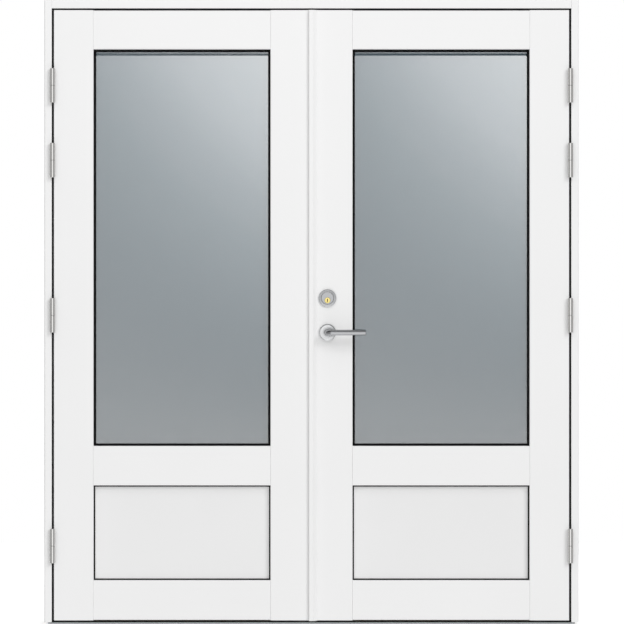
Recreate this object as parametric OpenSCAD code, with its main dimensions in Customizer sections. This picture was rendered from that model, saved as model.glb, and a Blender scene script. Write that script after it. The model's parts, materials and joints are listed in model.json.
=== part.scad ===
// Pair of outward-opening glazed doors in their own frame.
// X runs to the right as seen from outside, Y runs inwards (outside is -Y), Z is up.
// The origin is the middle of the threshold's underside, halfway through the frame's depth.

/* [Frame] */
// Overall width of the frame
frame_w = 1790; // [1400:10:2400]
// Overall height of the frame, from the threshold's underside
frame_h = 2090; // [1700:10:2600]
// Depth of the frame through the wall
frame_d = 115; // [95:1:160]
// Thickness of a jamb beside the leaf
jamb_t = 25; // [18:1:40]
// Thickness of the head above the leaves
head_t = 28; // [18:1:45]
// How far the stop stands in from the rebate
stop_in = 17; // [12:1:25]
// Space between the leaf's inside face and the stop, filled by the seal
seal_gap = 4; // [3:0.5:6]
// Thickness of the threshold plate
sill_t = 6; // [5:0.5:12]
// Radius of the frame's outer front edges
frame_arris = 4; // [1:0.5:6]
// How far the threshold plate's ends stay inside the frame's outer faces
sill_inset = 13; // [5:1:20]
// Height of the threshold stop above the plate
sill_stop_h = 19; // [14:1:40]

/* [Leaves] */
// Thickness of a leaf
leaf_t = 62; // [50:1:75]
// Gap between a leaf and its jamb
gap_side = 7; // [5:0.5:9]
// Gap between the two leaves
gap_meet = 7; // [6:0.5:9]
// Gap above the leaves
gap_top = 6; // [4:0.5:9]
// Gap between the threshold plate and the leaves
gap_sill = 6; // [4:0.5:12]
// Width of the stile on the hinge side
hinge_stile_w = 132.5; // [95:0.5:180]
// Width of the stile on the meeting side
lock_stile_w = 134; // [105:0.5:180]
// Height of the top rail
top_rail_h = 131; // [90:1:180]
// Height of the middle rail
mid_rail_h = 132; // [90:1:180]
// Height of the bottom rail
bottom_rail_h = 134; // [90:1:220]
// Height of the lower panel's opening
panel_h = 318; // [150:1:600]
// How much shorter the rails are than the stiles at the top and the bottom
rail_short = 1.2; // [0:0.1:3]
// Radius of the rounded edges of the wood
arris = 2.5; // [1:0.1:4]
// Length of the rails' tenons
tenon_l = 40; // [20:1:60]

/* [Glazing] */
// Thickness of the fixed lip outside the glass
lip_t = 18; // [12:1:24]
// Depth of the glazing rebate beyond the opening
rebate = 14; // [10:1:20]
// Clearance between the glass edge and the rebate
edge_gap = 4; // [3:0.5:6]
// Thickness of one pane
pane_t = 4; // [3:1:6]
// Space between the panes
pane_gap = 16; // [10:1:20]
// Thickness of the glass gaskets
glass_gasket_t = 3; // [2:0.5:4]
// Thickness of the panel gaskets
panel_gasket_t = 2; // [1.5:0.5:4]
// How far the glass gaskets show inside the opening
glass_gasket_show = 8; // [2:0.5:9]
// How far the panel gaskets show inside the opening
panel_gasket_show = 4.8; // [1:0.1:6]
// How far the spacer frame shows at the sides and the bottom of the glass
spacer_show = 6; // [4:0.5:12]
// How far the spacer frame shows at the top of the glass
spacer_top = 18.5; // [6:0.5:24]
// Thickness of the lower panel
panel_t = 24; // [16:1:28]

/* [Meeting strips] */
// Thickness of the outer cover strip
cover_t = 11; // [8:0.5:16]
// Cover strip's reach over the passive leaf, from the middle of the gap
cover_over = 8.7; // [7:0.1:14]
// Cover strip's reach over its own leaf, from the middle of the gap
cover_on = 18; // [14:0.5:22]
// Space between the cover strip and the passive leaf
cover_gap = 1.5; // [1:0.1:3]
// Thickness of the room-side strip behind the seal
inner_strip_t = 11.5; // [8:0.5:16]
// Room-side strip's reach over the active leaf, from the middle of the gap
inner_over = 14; // [12:0.5:18]
// Room-side strip's reach over its own leaf, from the middle of the gap
inner_on = 40; // [25:1:60]

/* [Hinges] */
// Radius of the hinge knuckles
knuckle_r = 9; // [7:0.5:12]
// Height of one knuckle
knuckle_h = 58.5; // [40:0.5:80]
// Gap between the two knuckles of a hinge
knuckle_gap = 1; // [0.3:0.1:1.5]
// Radius of the hinge pins
pin_r = 4; // [3:0.5:5]
// Thickness of the hinge plates
plate_t = 2.5; // [2:0.5:4]
// Depth of the hinge plates along the leaf's edge
plate_d = 34; // [28:1:45]
// Distance from the leaf's top to the middle of the upper hinge
hinge_top = 253; // [150:1:300]
// Distance between the two upper hinges
hinge_pair = 250; // [150:1:350]
// Distance from the leaf's bottom to the middle of the lowest hinge
hinge_bottom = 250; // [150:1:300]

/* [Lock and handle] */
// Height of the lever's axis above the threshold's underside
lever_z = 976.5; // [900:0.5:1100]
// Height of the key plug above the lever's axis
plug_up = 107.5; // [95:0.5:120]
// Distance from the leaf's meeting edge to the lever's axis
backset = 50; // [45:1:60]
// Radius of the lever's round bar
lever_r = 9.5; // [8:0.5:11]
// Length of the lever from its axis to its end
lever_l = 128; // [100:1:150]
// Distance from the leaf's face to the middle of the grip
lever_out = 50; // [40:1:65]
// Radius of the lever's bend, at the middle of the bar
bend_r = 14; // [12:0.5:20]
// Radius of the roses under the levers
rose_r = 28.75; // [24:0.25:32]
// Thickness of the roses
rose_t = 9; // [6:0.5:12]
// Radius of the ring round the cylinder
ring_r = 29.5; // [26:0.5:34]
// Height of the ring's middle above the key plug
ring_up = 7.5; // [4:0.5:9]
// Radius of the key plug
plug_r = 10; // [8:0.5:11]
// Travel of the latch
latch_travel = 11; // [9:0.5:12]
// Travel of the deadbolt
bolt_travel = 20; // [14:1:20]
// Radius of the flush bolts' rods
rod_r = 5; // [4:0.5:6]
// Travel of the upper flush bolt
rod_travel = 20; // [15:1:25]

/* [Fixings] */
// Radius of the fixing holes through the jambs
fixing_r = 7; // [5:0.5:8]
// Distance from the frame's top and bottom to the outer fixing holes
fixing_end = 145; // [100:5:200]
// Height between the two middle fixing holes of a jamb
fixing_mid = 600; // [400:10:900]

/* [Hidden] */
$fn = 48;

PAINT = "#EEEEEC";
STEEL = "#B9B6AE";
BRUSHED = "#C4C5C6";
DARK_STEEL = "#8C8F92";
BLACK = "#17181A";
GLASS = [0.62, 0.66, 0.68, 0.45];
BRASS = "#D8BE72";
SILL = "#787B7D";
OAK = "#B08A5A";

// How far a cutter passes a surface, and how far joined shapes run into each other
over = 1;

// Rounded edges of the threshold
sill_arris = 1.5;
oak_arris = 2;

// Planes through the depth: outer face, leaf's inside face, stop's front, frame's inside face
y_out = -frame_d / 2;
y_leaf = y_out + leaf_t;
y_stop = y_leaf + seal_gap;
y_in = frame_d / 2;
y_mid = y_out + leaf_t / 2;
y_lip = y_out + lip_t;

// Planes across the width, for the right half
x_out = frame_w / 2;
x_rebate = x_out - jamb_t;
x_stop = x_rebate - stop_in;
x_hinge_edge = x_rebate - gap_side;
x_lock_edge = gap_meet / 2;
x_open0 = x_lock_edge + lock_stile_w;
x_open1 = x_hinge_edge - hinge_stile_w;
x_axis = x_rebate - gap_side / 2;

// Levels
z_head = frame_h - head_t;
z_head_stop = z_head - stop_in;
z_leaf0 = sill_t + gap_sill;
z_leaf1 = z_head - gap_top;
z_panel0 = z_leaf0 + bottom_rail_h;
z_panel1 = z_panel0 + panel_h;
z_glass0 = z_panel1 + mid_rail_h;
z_glass1 = z_leaf1 - top_rail_h;
z_sill_stop = sill_t + sill_stop_h;

// Hinges: the axis stands off the outer face, and each hinge has its middle at one of these heights
knuckle_off = 0.5;
y_axis = y_out - knuckle_off - knuckle_r;
z_hinges = [
  z_leaf0 + hinge_bottom,
  (z_leaf0 + z_leaf1) / 2,
  z_leaf1 - hinge_top - hinge_pair,
  z_leaf1 - hinge_top
];
pin_half = 40;
pin_free = 0.3;
run = 0.05;
dome_r = 2.4 * knuckle_r;
dome_fn = 96;
plate_h = knuckle_h - knuckle_r / 2;
// Places of the three screws of a hinge half: depth along the plate, height above the knuckle's joint
hinge_screw_spots = [[14, 10], [27, 29], [14, 48]];

// Tenons
tenon_t = 16;
tenon_y = y_out + 20;
tenon_in = 32;
tenon_fit = 0.2;

// Glass unit and panel, with their planes through the depth
unit_t = 2 * pane_t + pane_gap;
y_pane = y_lip + glass_gasket_t;
y_unit = y_pane + unit_t;
y_glass_bead = y_unit + glass_gasket_t;
y_panel = y_lip + panel_gasket_t;
y_panel_bead = y_panel + panel_t + panel_gasket_t;
glass_grow = rebate - edge_gap;
spacer_r = 6;
block_l = 100;
block_in = 60;
bead_fit = 0.2;
bead_step = 3;
bead_slope = 4;

// Meeting strips
cover_flat = 5.5;
cover_edge = 3;
cover_below = 1;
cover_corner = 2;
strip_corner = 1;
strip_clear = 2.5;

// Seals
seal_w = 6;
seal_off = 2;
seal_free = 0.3;
barb_w = 2.4;
barb_d = 5;
lip_r = 2;
lip_in = 5;
lip_free = 1.5;
groove_in = seal_off + (seal_w - barb_w) / 2;

// Lock
x_spindle = x_lock_edge + backset;
z_plug = lever_z + plug_up;
z_ring = z_plug + ring_up;
edge_plate_w = 22;
edge_plate_t = 3;
case_wall = 1.5;
case_t = 14;
case_d = 82;
case_z0 = lever_z - 46;
case_z1 = z_plug + 46;
forend_z0 = case_z0 - 18;
forend_z1 = case_z1 + 18;
case_free = 1;
case_hole_r = 6;
neck_hole_r = 11;
bolt_t = case_t - 2 * case_wall - 1;
slide_gap = 0.4;
window_gap = 1;
pocket_gap = 2;
latch_z = lever_z + 31;
latch_h = 20;
latch_lip = 2;
latch_flat = 1;
latch_body_l = 12;
bar_trim = 1;
bar_up = 3;
bolt_z = lever_z + 71;
bolt_h = 30;
bolt_l = 60;
tail_gap = 0.6;
tail_up = 1;
tail_l = 4;
follower_r = 9;
arm_w = 5;
arm_h = 17;
spindle_w = 8;
spindle_fit = 0.1;
spindle_in = 26;
housing_r = 20;
tail_t = 2;
tail_w = 8;
pocket_spare = 5;
thumb_rose_r = 25;
thumb_rose_t = 8;
boss_r = 8;
wing_w = 7;
wing_h = 30;
wing_out = 18;
wing_corner = 3;
boss_out = 2;
tail_fit = 0.2;

// Lever, ring and key plug
neck_in = 1;
end_chamfer = 1.5;
rose_rim = 3;
ring_t = 6;
ring_rim = 2.5;
collar_r = 22.5;
collar_t = 10;
collar_rim = 1;
housing_out = 9;
plug_out = 10;
key_slot_w = 3;
key_slot_h = 11;
key_slot_d = 22;

// Flush bolts
x_rod = x_lock_edge + 22;
bolt_plate_l = 200;
bolt_plate_in = 100;
rod_tip = 1;
rod_l = 285;
rod_run = 0.5;
rod_hole_r = rod_r + 1;
slide_in = 1;
slide_l = 24;
edge_screw_l = 15;
keeper_l = 60;
keeper_w = 24;
keeper_t = 2;
z_bolt_plate1 = z_leaf1 - bolt_plate_in;
z_bolt_plate0 = z_bolt_plate1 - bolt_plate_l;
z_slide = (z_bolt_plate0 + z_bolt_plate1 - slide_l) / 2;

// Screws
screw_r = 2;
screw_head_r = 4;
screw_l = 30;
screw_end = 8;
joint_screw_r = 2.5;
joint_head_r = 5;
joint_screw_l = 90;
joint_screw_up = 22;
sill_screw_l = 60;
sill_screw_in = 5;
jamb_screw_l = 20;
y_fixing = (y_stop + y_in) / 2;
z_fixings = [
  fixing_end,
  (frame_h - fixing_mid) / 2,
  (frame_h + fixing_mid) / 2,
  frame_h - fixing_end
];

// ---------- shared shapes ----------

// The right half's shape, mirrored for the left half when side is -1
module on_side(side) {
  if (side < 0) mirror([1, 0, 0]) children();
  else children();
}

// What a square corner at the origin loses to become round
module corner_loss(r) {
  difference() {
    translate([-over, -over]) square(r + over);
    translate([r, r]) circle(r);
  }
}

// A rectangle with four rounded corners
module rounded_section(w, d, r) {
  difference() {
    square([w, d]);
    corner_loss(r);
    translate([w, 0]) mirror([1, 0]) corner_loss(r);
    translate([0, d]) mirror([0, 1]) corner_loss(r);
    translate([w, d]) rotate(180) corner_loss(r);
  }
}

// A section drawn in the Y-Z plane, run along X
module along_x(x0, x1) {
  translate([x0, 0, 0]) rotate([90, 0, 90]) linear_extrude(x1 - x0) children();
}

// A section drawn in the X-Y plane, run along Z
module along_z(z0, z1) {
  translate([0, 0, z0]) linear_extrude(z1 - z0) children();
}

// A box given by its two far corners
module box(a, b) {
  translate(a) cube(b - a);
}

// A cylinder along Y between two depths
module rod_y(x, z, r, y0, y1) {
  translate([x, y0, z]) rotate([-90, 0, 0]) cylinder(r = r, h = y1 - y0);
}

// A cylinder along X between two places
module rod_x(y, z, r, x0, x1) {
  translate([x0, y, z]) rotate([0, 90, 0]) cylinder(r = r, h = x1 - x0);
}

// A countersunk screw whose head lies in the plane z = 0 and whose shank runs down
module countersunk(r, head_r, l) {
  rotate([180, 0, 0]) {
    cylinder(r1 = head_r, r2 = r, h = head_r - r);
    cylinder(r = r, h = l);
  }
}

// ---------- frame ----------

module jamb_section() {
  difference() {
    translate([x_stop, y_out]) square([x_out - x_stop, frame_d]);
    translate([x_stop - over, y_out - over]) square([stop_in + over, y_stop - y_out + over]);
    translate([x_rebate, y_out]) corner_loss(arris);
    translate([x_out, y_out]) mirror([1, 0]) corner_loss(frame_arris);
    translate([x_stop, y_stop]) corner_loss(arris);
    translate([x_stop, y_in]) mirror([0, 1]) corner_loss(arris);
    translate([x_out, y_in]) rotate(180) corner_loss(arris);
    translate([x_stop + groove_in, y_stop - over]) square([barb_w, barb_d + over]);
  }
}

module jamb(side) {
  on_side(side) difference() {
    along_z(sill_t, frame_h) jamb_section();
    for (z = z_fixings) rod_x(y_fixing, z, fixing_r, x_stop - over, x_out + over);
    for (z = z_hinges) hinge_plate_recess(z);
    hinge_screw_holes();
    frame_joint_screws();
    seal_corner();
    along_x(x_stop - over, x_out + over)
      translate([y_out, frame_h]) mirror([0, 1]) corner_loss(frame_arris);
  }
}

// The head's seal groove, carried on into the jamb as far as the jamb's own groove
module seal_corner() {
  z = z_head_stop + groove_in;
  box([x_stop - over, y_stop - over, z], [x_stop + seal_off + seal_w / 2, y_stop + barb_d, z + barb_w]);
}

// The recess for the frame's half of a hinge, in the rebate's face
module hinge_plate_recess(z) {
  box([x_rebate - over, y_out - over, z - knuckle_gap / 2 - plate_h],
      [x_rebate + plate_t, y_out + plate_d, z - knuckle_gap / 2]);
}

module head_section() {
  difference() {
    translate([y_out, z_head_stop]) square([frame_d, frame_h - z_head_stop]);
    translate([y_out - over, z_head_stop - over])
      square([y_stop - y_out + over, stop_in + over]);
    translate([y_out, z_head]) corner_loss(arris);
    translate([y_out, frame_h]) mirror([0, 1]) corner_loss(frame_arris);
    translate([y_stop, z_head_stop]) corner_loss(arris);
    translate([y_in, z_head_stop]) mirror([1, 0]) corner_loss(arris);
    translate([y_in, frame_h]) rotate(180) corner_loss(arris);
    translate([y_stop - over, z_head_stop + groove_in]) square([barb_d + over, barb_w]);
  }
}

module head() {
  color(PAINT) difference() {
    along_x(-x_rebate, x_rebate) head_section();
    for (side = [-1, 1]) on_side(side) {
      box([x_stop, y_stop, z_head_stop - over], [x_rebate + over, y_in + over, frame_h + over]);
      frame_joint_screws();
    }
    mirror([1, 0, 0]) {
      keeper_plate(z_head - over, z_head + keeper_t);
      translate([x_rod, y_mid, z_head - over]) cylinder(r = rod_hole_r, h = rod_travel);
    }
  }
}

module jamb_left() {
  color(PAINT) jamb(-1);
}

module jamb_right() {
  color(PAINT) jamb(1);
}

module threshold_plate() {
  color(SILL) difference() {
    along_x(-x_out + sill_inset, x_out - sill_inset) difference() {
      translate([y_out, 0]) square([frame_d, sill_t]);
      translate([y_out, sill_t]) mirror([0, 1]) corner_loss(sill_arris);
    }
    for (side = [-1, 1]) on_side(side) frame_joint_screws();
    mirror([1, 0, 0]) {
      keeper_plate(sill_t - keeper_t, sill_t + over);
      translate([x_rod, y_mid, -over]) cylinder(r = rod_hole_r, h = sill_t + 2 * over);
    }
  }
}

module threshold_stop() {
  color(OAK) along_x(-x_stop, x_stop) difference() {
    translate([y_stop, sill_t]) square([y_in - y_stop, sill_stop_h]);
    translate([y_stop, z_sill_stop]) mirror([0, 1]) corner_loss(oak_arris);
    translate([y_in, z_sill_stop]) rotate(180) corner_loss(oak_arris);
    translate([y_stop - over, z_sill_stop - groove_in - barb_w]) square([barb_d + over, barb_w]);
  }
}

// Seal section: a round nose that faces the leaf, on a barb that sits in its groove
module seal_section() {
  nose = seal_gap - seal_free;
  difference() {
    translate([seal_w / 2, 0]) {
      translate([0, -nose + seal_w / 2]) circle(seal_w / 2);
      translate([-seal_w / 2, -nose + seal_w / 2]) square([seal_w, nose - seal_w / 2]);
      translate([-barb_w / 2, -over]) square([barb_w, barb_d + over]);
    }
    translate([-over, 0]) square([(seal_w - barb_w) / 2 + over, seal_w]);
    translate([(seal_w + barb_w) / 2, 0]) square([seal_w, seal_w]);
  }
}

// A lip across a gap beside or above a leaf: it stands on the rebate and stays clear of the leaf
module lip_section(gap) {
  reach = gap - lip_free - lip_r;
  square([reach, 2 * lip_r]);
  translate([reach, lip_r]) circle(lip_r);
}

module frame_seal() {
  z_top = z_head_stop + seal_off;
  x_seal = x_stop + seal_off;
  y_lips = y_out + lip_in;
  color(BLACK) {
    for (side = [-1, 1]) on_side(side)
      along_z(sill_t, z_leaf1) translate([x_rebate, y_lips]) mirror([1, 0]) lip_section(gap_side);
    along_x(-x_rebate, x_rebate) translate([y_lips, z_head]) rotate(-90) lip_section(gap_top);
    for (side = [-1, 1]) on_side(side)
      along_z(sill_t, z_top + seal_w) translate([x_seal, y_stop]) seal_section();
    along_x(-x_seal - seal_w / 2, x_seal + seal_w / 2)
      translate([y_stop, z_top + seal_w]) rotate(-90) seal_section();
  }
}

module threshold_seal() {
  color(BLACK) along_x(-x_stop, x_stop)
    translate([y_stop, z_sill_stop - seal_off]) rotate(-90) seal_section();
}

// Screws that hold the right jamb to the head and the threshold plate
module frame_joint_screws() {
  for (yz = [[y_fixing, z_head_stop + joint_screw_up], [y_mid, z_head + head_t / 2]])
    translate([x_out, yz[0], yz[1]]) rotate([0, 90, 0])
      countersunk(joint_screw_r, joint_head_r, joint_screw_l);
  for (y = [y_mid, y_fixing])
    translate([x_rebate + sill_screw_in, y, 0]) rotate([180, 0, 0])
      countersunk(joint_screw_r, joint_head_r, sill_screw_l);
}

module frame_screws() {
  color(DARK_STEEL) for (side = [-1, 1]) on_side(side) frame_joint_screws();
}

// A flush bolt's keeper, drawn on the right and let in between two levels
module keeper_plate(z0, z1) {
  box([x_rod - keeper_l / 2, y_mid - keeper_w / 2, z0], [x_rod + keeper_l / 2, y_mid + keeper_w / 2, z1]);
}

module bolt_keepers() {
  color(BRUSHED) mirror([1, 0, 0])
    for (z = [z_head, sill_t - keeper_t]) difference() {
      keeper_plate(z, z + keeper_t);
      translate([x_rod, y_mid, z - over]) cylinder(r = rod_hole_r, h = keeper_t + 2 * over);
    }
}

// ---------- hinges ----------

// A knuckle with a domed top, standing on z = 0
module knuckle() {
  cylinder(r = knuckle_r, h = knuckle_h - knuckle_r);
  intersection() {
    translate([0, 0, knuckle_h - knuckle_r - over]) cylinder(r = knuckle_r, h = knuckle_r + over);
    translate([0, 0, knuckle_h - dome_r]) sphere(dome_r, $fn = dome_fn);
  }
}

// The leaf's half of a hinge, with its joint at z = 0 and its plate towards the leaf
module leaf_hinge_half() {
  x_plate = gap_side / 2;
  difference() {
    union() {
      knuckle();
      box([-x_plate - plate_t, 0, 0], [-x_plate, knuckle_r + knuckle_off + plate_d, plate_h]);
    }
    translate([0, 0, -over]) cylinder(r = pin_r + run, h = pin_half + over);
    for (s = hinge_screw_spots)
      translate([-x_plate, knuckle_r + knuckle_off + s[0], s[1]]) rotate([0, 90, 0])
        countersunk(screw_r, screw_head_r, screw_l);
  }
}

module at_hinges() {
  for (z = z_hinges) translate([x_axis, y_axis, z]) children();
}

module leaf_hinges(side) {
  color(STEEL) on_side(side) at_hinges() translate([0, 0, knuckle_gap / 2]) leaf_hinge_half();
}

module frame_hinges() {
  color(STEEL) for (side = [-1, 1]) on_side(side) at_hinges()
    translate([0, 0, -knuckle_gap / 2]) rotate([0, 180, 0]) leaf_hinge_half();
}

module hinge_pins() {
  color(BRUSHED) for (side = [-1, 1]) on_side(side) at_hinges()
    translate([0, 0, -knuckle_gap / 2 - pin_half])
      cylinder(r = pin_r, h = 2 * pin_half + knuckle_gap - pin_free);
}

// The screws of the right leaf's hinge halves
module leaf_hinge_screws() {
  at_hinges() for (s = hinge_screw_spots)
    translate([-gap_side / 2, knuckle_r + knuckle_off + s[0], knuckle_gap / 2 + s[1]])
      rotate([0, 90, 0]) countersunk(screw_r, screw_head_r, screw_l);
}

// The screws of the right jamb's hinge halves
module hinge_screw_holes() {
  at_hinges() for (s = hinge_screw_spots)
    translate([gap_side / 2, knuckle_r + knuckle_off + s[0], -knuckle_gap / 2 - s[1]])
      rotate([0, -90, 0]) countersunk(screw_r, screw_head_r, jamb_screw_l);
}

module hinge_screws() {
  color(BRUSHED) for (side = [-1, 1]) on_side(side) hinge_screw_holes();
}

// ---------- leaf woodwork, drawn for the right leaf ----------

// The glazing rebate behind the lip, round one opening
module rebate_cut(z0, z1) {
  box([x_open0 - rebate, y_lip, z0 - rebate], [x_open1 + rebate, y_leaf + over, z1 + rebate]);
}

module rebate_cuts() {
  rebate_cut(z_glass0, z_glass1);
  rebate_cut(z_panel0, z_panel1);
}

// The tenons of a rail between two levels; grow is the mortise's clearance
module tenons(z0, z1, grow) {
  reach = tenon_l + grow;
  for (x = [[x_open0 - reach, x_open0 + over], [x_open1 - over, x_open1 + reach]])
    box([x[0], tenon_y - grow, z0 + tenon_in - grow],
        [x[1], tenon_y + tenon_t + grow, z1 - tenon_in + grow]);
}

module all_tenons(grow) {
  tenons(z_leaf0, z_panel0, grow);
  tenons(z_panel1, z_glass0, grow);
  tenons(z_glass1, z_leaf1, grow);
}

module rail(z0, z1, tenon_z0, tenon_z1) {
  difference() {
    along_x(x_open0, x_open1) translate([y_out, z0]) rounded_section(leaf_t, z1 - z0, arris);
    rebate_cuts();
  }
  tenons(tenon_z0, tenon_z1, 0);
}

module top_rail(side) {
  color(PAINT) on_side(side) rail(z_glass1, z_leaf1 - rail_short, z_glass1, z_leaf1);
}

module mid_rail(side) {
  color(PAINT) on_side(side) rail(z_panel1, z_glass0, z_panel1, z_glass0);
}

module bottom_rail(side) {
  color(PAINT) on_side(side) rail(z_leaf0 + rail_short, z_panel0, z_leaf0, z_panel0);
}

module stile(x0, w) {
  difference() {
    along_z(z_leaf0, z_leaf1) translate([x0, y_out]) rounded_section(w, leaf_t, arris);
    rebate_cuts();
    all_tenons(tenon_fit);
  }
}

module hinge_stile(side) {
  color(PAINT) on_side(side) difference() {
    stile(x_open1, hinge_stile_w);
    for (z = z_hinges)
      box([x_hinge_edge - plate_t, y_out - over, z + knuckle_gap / 2],
          [x_hinge_edge + over, y_out + plate_d, z + knuckle_gap / 2 + plate_h]);
    leaf_hinge_screws();
  }
}

// ---------- glazing, drawn for the right leaf ----------

// A flat ring round an opening: reach beyond it, show inside it
module ring(z0, z1, y0, y1, reach, show) {
  difference() {
    box([x_open0 - reach, y0, z0 - reach], [x_open1 + reach, y1, z1 + reach]);
    box([x_open0 + show, y0 - over, z0 + show], [x_open1 - show, y1 + over, z1 - show]);
  }
}

module pane(side, y) {
  color(GLASS) on_side(side)
    box([x_open0 - glass_grow, y, z_glass0 - glass_grow],
        [x_open1 + glass_grow, y + pane_t, z_glass1 + glass_grow]);
}

module spacer(side) {
  w = x_open1 - x_open0 - 2 * spacer_show;
  h = z_glass1 - z_glass0 - spacer_show - spacer_top;
  y0 = y_pane + pane_t;
  grow = glass_grow - edge_gap;
  color(BLACK) on_side(side) difference() {
    box([x_open0 - grow, y0, z_glass0 - grow], [x_open1 + grow, y0 + pane_gap, z_glass1 + grow]);
    translate([x_open0 + spacer_show, y0 + pane_gap + over, z_glass0 + spacer_show])
      rotate([90, 0, 0]) linear_extrude(pane_gap + 2 * over) rounded_section(w, h, spacer_r);
  }
}

module gaskets(side) {
  color(BLACK) on_side(side) {
    ring(z_glass0, z_glass1, y_lip, y_pane, glass_grow, glass_gasket_show);
    ring(z_glass0, z_glass1, y_unit, y_glass_bead, glass_grow, 0);
    ring(z_panel0, z_panel1, y_lip, y_panel, glass_grow, panel_gasket_show);
    ring(z_panel0, z_panel1, y_panel + panel_t, y_panel_bead, glass_grow, 0);
  }
}

module panel(side) {
  color(PAINT) on_side(side)
    box([x_open0 - glass_grow, y_panel, z_panel0 - glass_grow],
        [x_open1 + glass_grow, y_panel + panel_t, z_panel1 + glass_grow]);
}

module setting_blocks(side) {
  color(BLACK) on_side(side)
    for (x = [x_open0 + block_in, x_open1 - block_in - block_l]) {
      box([x, y_pane, z_glass0 - rebate], [x + block_l, y_unit, z_glass0 - glass_grow]);
      box([x, y_panel, z_panel0 - rebate], [x + block_l, y_panel + panel_t, z_panel0 - glass_grow]);
    }
}

// A bead's section: its back stands on the rebate, and its room side slopes away from the opening
module bead_section(y) {
  polygon([[-rebate, y], [0, y], [0, y + bead_step], [-bead_slope, y_leaf], [-rebate, y_leaf]]);
}

// A horizontal bead, lying on the rebate below the opening, or under it above the opening
module bead_x(z, y, above) {
  along_x(x_open0 + bead_fit, x_open1 - bead_fit) translate([0, z])
    mirror([0, above ? 1 : 0]) mirror([1, -1]) bead_section(y);
}

// An upright bead, on the opening's inner or outer side
module bead_z(z0, z1, x, y, far) {
  along_z(z0 - rebate, z1 + rebate) translate([x, 0]) mirror([far ? 1 : 0, 0]) bead_section(y);
}

module bead_set(z0, z1, y) {
  bead_z(z0, z1, x_open0, y, false);
  bead_z(z0, z1, x_open1, y, true);
  bead_x(z0, y, false);
  bead_x(z1, y, true);
}

module beads(side) {
  color(PAINT) on_side(side) {
    bead_set(z_glass0, z_glass1, y_glass_bead);
    bead_set(z_panel0, z_panel1, y_panel_bead);
  }
}

// ---------- meeting edges ----------

module cover_strip() {
  y_face = y_out - cover_t;
  color(PAINT) along_z(z_leaf0 - cover_below, z_leaf1) difference() {
    polygon([
      [-cover_over, y_out - cover_gap],
      [-cover_over, y_face],
      [cover_flat, y_face],
      [cover_on - cover_edge, y_out - cover_edge - 1],
      [cover_on, y_out - cover_edge],
      [cover_on, y_out],
      [x_lock_edge, y_out],
      [x_lock_edge, y_out - cover_gap]
    ]);
    translate([-cover_over, y_face]) corner_loss(cover_corner);
  }
}

// The strip behind the meeting gap, drawn for a leaf on the right
module meeting_stop() {
  y_back = y_stop + inner_strip_t;
  along_z(z_sill_stop + strip_clear, z_head_stop - strip_clear) difference() {
    union() {
      translate([-inner_over, y_stop]) square([inner_over + inner_on, inner_strip_t]);
      translate([x_lock_edge, y_leaf]) square([inner_on - x_lock_edge, inner_strip_t]);
    }
    translate([-inner_over, y_stop]) corner_loss(strip_corner);
    translate([-inner_over, y_back]) mirror([0, 1]) corner_loss(arris);
    translate([inner_on, y_back]) rotate(180) corner_loss(arris);
    translate([-inner_over + groove_in, y_stop - over]) square([barb_w, barb_d + over]);
  }
}

module inner_strip() {
  color(PAINT) mirror([1, 0, 0]) meeting_stop();
}

module meeting_seal() {
  color(BLACK) mirror([1, 0, 0])
    along_z(z_sill_stop + strip_clear, z_head_stop - strip_clear)
      translate([-inner_over + seal_off, y_stop]) seal_section();
}

// A plate let in flush in a leaf's meeting edge
module edge_plate(w, z0, z1) {
  box([x_lock_edge, y_mid - w / 2, z0], [x_lock_edge + edge_plate_t, y_mid + w / 2, z1]);
}

// A screw driven into a leaf's meeting edge
module edge_screw(z, l) {
  translate([x_lock_edge, y_mid, z]) rotate([0, -90, 0]) countersunk(screw_r, screw_head_r, l);
}

module forend_screws() {
  edge_screw(forend_z0 + screw_end, screw_l);
  edge_screw(forend_z1 - screw_end, screw_l);
}

// A window or a pocket round the latch or the deadbolt, with its clearance
module bolt_hole(z, h, x0, x1, gap) {
  box([x0, y_mid - bolt_t / 2 - gap, z - h / 2 - gap],
      [x1, y_mid + bolt_t / 2 + gap, z + h / 2 + gap]);
}

module lock_windows(x0, x1, gap) {
  bolt_hole(latch_z, latch_h, x0, x1, gap);
  bolt_hole(bolt_z, bolt_h, x0, x1, gap);
}

module strike_plate() {
  color(BRUSHED) mirror([1, 0, 0]) difference() {
    edge_plate(edge_plate_w, forend_z0, forend_z1);
    lock_windows(x_lock_edge - over, x_lock_edge + edge_plate_t + over, window_gap);
    forend_screws();
  }
}

// ---------- flush bolts, drawn for the upper one of a leaf on the right ----------

module upper_and_lower() {
  children();
  translate([0, 0, z_leaf0 + z_leaf1]) mirror([0, 0, 1]) children();
}

module bolt_plate_screws() {
  edge_screw(z_bolt_plate0 + screw_end, edge_screw_l);
  edge_screw(z_bolt_plate1 - screw_end, edge_screw_l);
}

// The slot that the thumb slide runs in
module slide_slot(x0, x1) {
  box([x0, y_mid - rod_r - rod_run, z_slide - rod_run],
      [x1, y_mid + rod_r + rod_run, z_slide + slide_l + rod_travel + rod_run]);
}

module bolt_plates() {
  color(BRUSHED) mirror([1, 0, 0]) upper_and_lower() difference() {
    edge_plate(edge_plate_w, z_bolt_plate0, z_bolt_plate1);
    slide_slot(x_lock_edge - over, x_lock_edge + edge_plate_t + over);
    bolt_plate_screws();
  }
}

module flush_bolt() {
  z_tip = z_leaf1 - rod_tip;
  translate([x_rod, y_mid, z_tip - rod_l]) cylinder(r = rod_r, h = rod_l);
  box([x_lock_edge + slide_in, y_mid - rod_r, z_slide], [x_rod, y_mid + rod_r, z_slide + slide_l]);
}

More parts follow.
